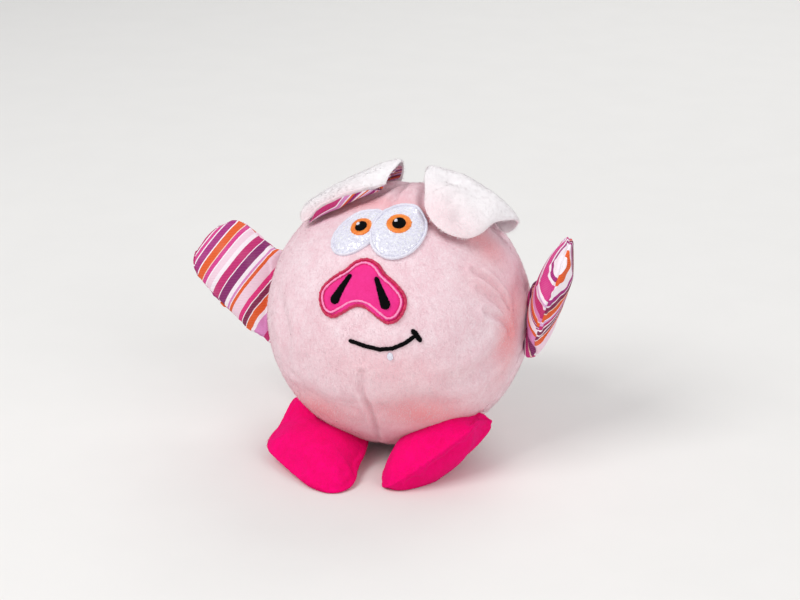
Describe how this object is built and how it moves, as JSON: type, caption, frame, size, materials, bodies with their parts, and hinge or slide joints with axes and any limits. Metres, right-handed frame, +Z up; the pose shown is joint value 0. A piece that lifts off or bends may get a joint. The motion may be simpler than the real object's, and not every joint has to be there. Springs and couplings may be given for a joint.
{
  "type": "plush pig dog toy",
  "caption": "Ball-shaped pink plush pig dog toy with a felt snout, glitter-cloth eyes, striped arms, plush feet and floppy lined ears, sitting tipped back.",
  "frame": {"origin": "centre of the flat spot at the bottom of the ball, where the toy rests on the floor", "axes": "+Z up from the floor, -Y where the face looks, +X towards the toy's left arm"},
  "size_m": [0.1953, 0.1381, 0.1381],
  "materials": {
    "pink_plush": "short brushed pile, pale pink",
    "hot_pink_plush": "short brushed pile, hot pink",
    "white_plush": "brushed pile, white",
    "striped_twill": "cotton twill with woven stripes in pinks, plum, orange and white",
    "snout_felt": "felt, hot pink",
    "raspberry_thread": "satin-stitched thread, raspberry",
    "pale_thread": "running stitch, light pink",
    "black_thread": "satin-stitched thread, black",
    "white_thread": "satin-stitched thread, white",
    "glitter_cloth": "cloth with fine silver glitter",
    "orange_thread": "satin-stitched thread, orange",
    "polyester_fibre": "loose white fibre",
    "squeaker_plastic": "translucent white plastic"
  },
  "bodies": {
    "ball": {"front_cover": "pink_plush", "back_cover": "pink_plush", "stuffing": "polyester_fibre", "squeaker_bulb": "squeaker_plastic", "squeaker_reed": "squeaker_plastic", "snout_patch": "snout_felt", "snout_border": "raspberry_thread", "snout_stitch_line": "pale_thread", "nostril_right": "black_thread", "nostril_left": "black_thread", "mouth": "black_thread", "cheek_tick": "black_thread", "tooth": "white_thread", "eye_patch_right": "glitter_cloth", "eye_border_right": "white_thread", "iris_right": "orange_thread", "pupil_right": "black_thread", "glint_right": "white_thread", "eye_patch_left": "glitter_cloth", "eye_border_left": "white_thread", "iris_left": "orange_thread", "pupil_left": "black_thread", "glint_left": "white_thread"},
    "arm_right": {"arm_right_front": "striped_twill", "arm_right_back": "striped_twill", "arm_right_wadding": "polyester_fibre"},
    "arm_left": {"arm_left_front": "striped_twill", "arm_left_back": "striped_twill", "arm_left_wadding": "polyester_fibre"},
    "foot_right": {"foot_right_upper": "hot_pink_plush", "foot_right_sole": "hot_pink_plush", "foot_right_wadding": "polyester_fibre"},
    "foot_left": {"foot_left_upper": "hot_pink_plush", "foot_left_sole": "hot_pink_plush", "foot_left_wadding": "polyester_fibre"},
    "ear_right": {"ear_right_plush": "white_plush", "ear_right_lining": "striped_twill"},
    "ear_left": {"ear_left_plush": "white_plush", "ear_left_lining": "striped_twill"}
  },
  "joints": [
    {"name": "arm_right_swing", "type": "hinge", "parent": "ball", "child": "arm_right", "pos_m": [-0.062, 0, 0.0635], "axis": [0, -0.3746, -0.9272], "range_deg": [-20, 20], "stiffness_Nm_per_rad": 0.1},
    {"name": "arm_left_swing", "type": "hinge", "parent": "ball", "child": "arm_left", "pos_m": [0.06185, 0.00162, 0.06751], "axis": [-0.0698, 0.3737, 0.9249], "range_deg": [-5, 30], "stiffness_Nm_per_rad": 0.1},
    {"name": "foot_right_flex", "type": "hinge", "parent": "ball", "child": "foot_right", "pos_m": [-0.0262, -0.02105, 0.0114], "axis": [0.9063, -0.1583, -0.3918], "range_deg": [-5, 10], "stiffness_Nm_per_rad": 0.3},
    {"name": "foot_left_flex", "type": "hinge", "parent": "ball", "child": "foot_left", "pos_m": [0.0262, -0.02105, 0.0114], "axis": [0.9063, 0.1583, 0.3918], "range_deg": [-5, 10], "stiffness_Nm_per_rad": 0.3},
    {"name": "ear_right_flap", "type": "hinge", "parent": "ball", "child": "ear_right", "pos_m": [-0.02766, 0.02079, 0.11495], "axis": [-0.8949, -0.1672, -0.4137], "range_deg": [0, 40], "stiffness_Nm_per_rad": 0.05},
    {"name": "ear_left_flap", "type": "hinge", "parent": "ball", "child": "ear_left", "pos_m": [0.02766, 0.02079, 0.11495], "axis": [-0.8949, 0.1672, 0.4137], "range_deg": [0, 40], "stiffness_Nm_per_rad": 0.05}
  ]
}
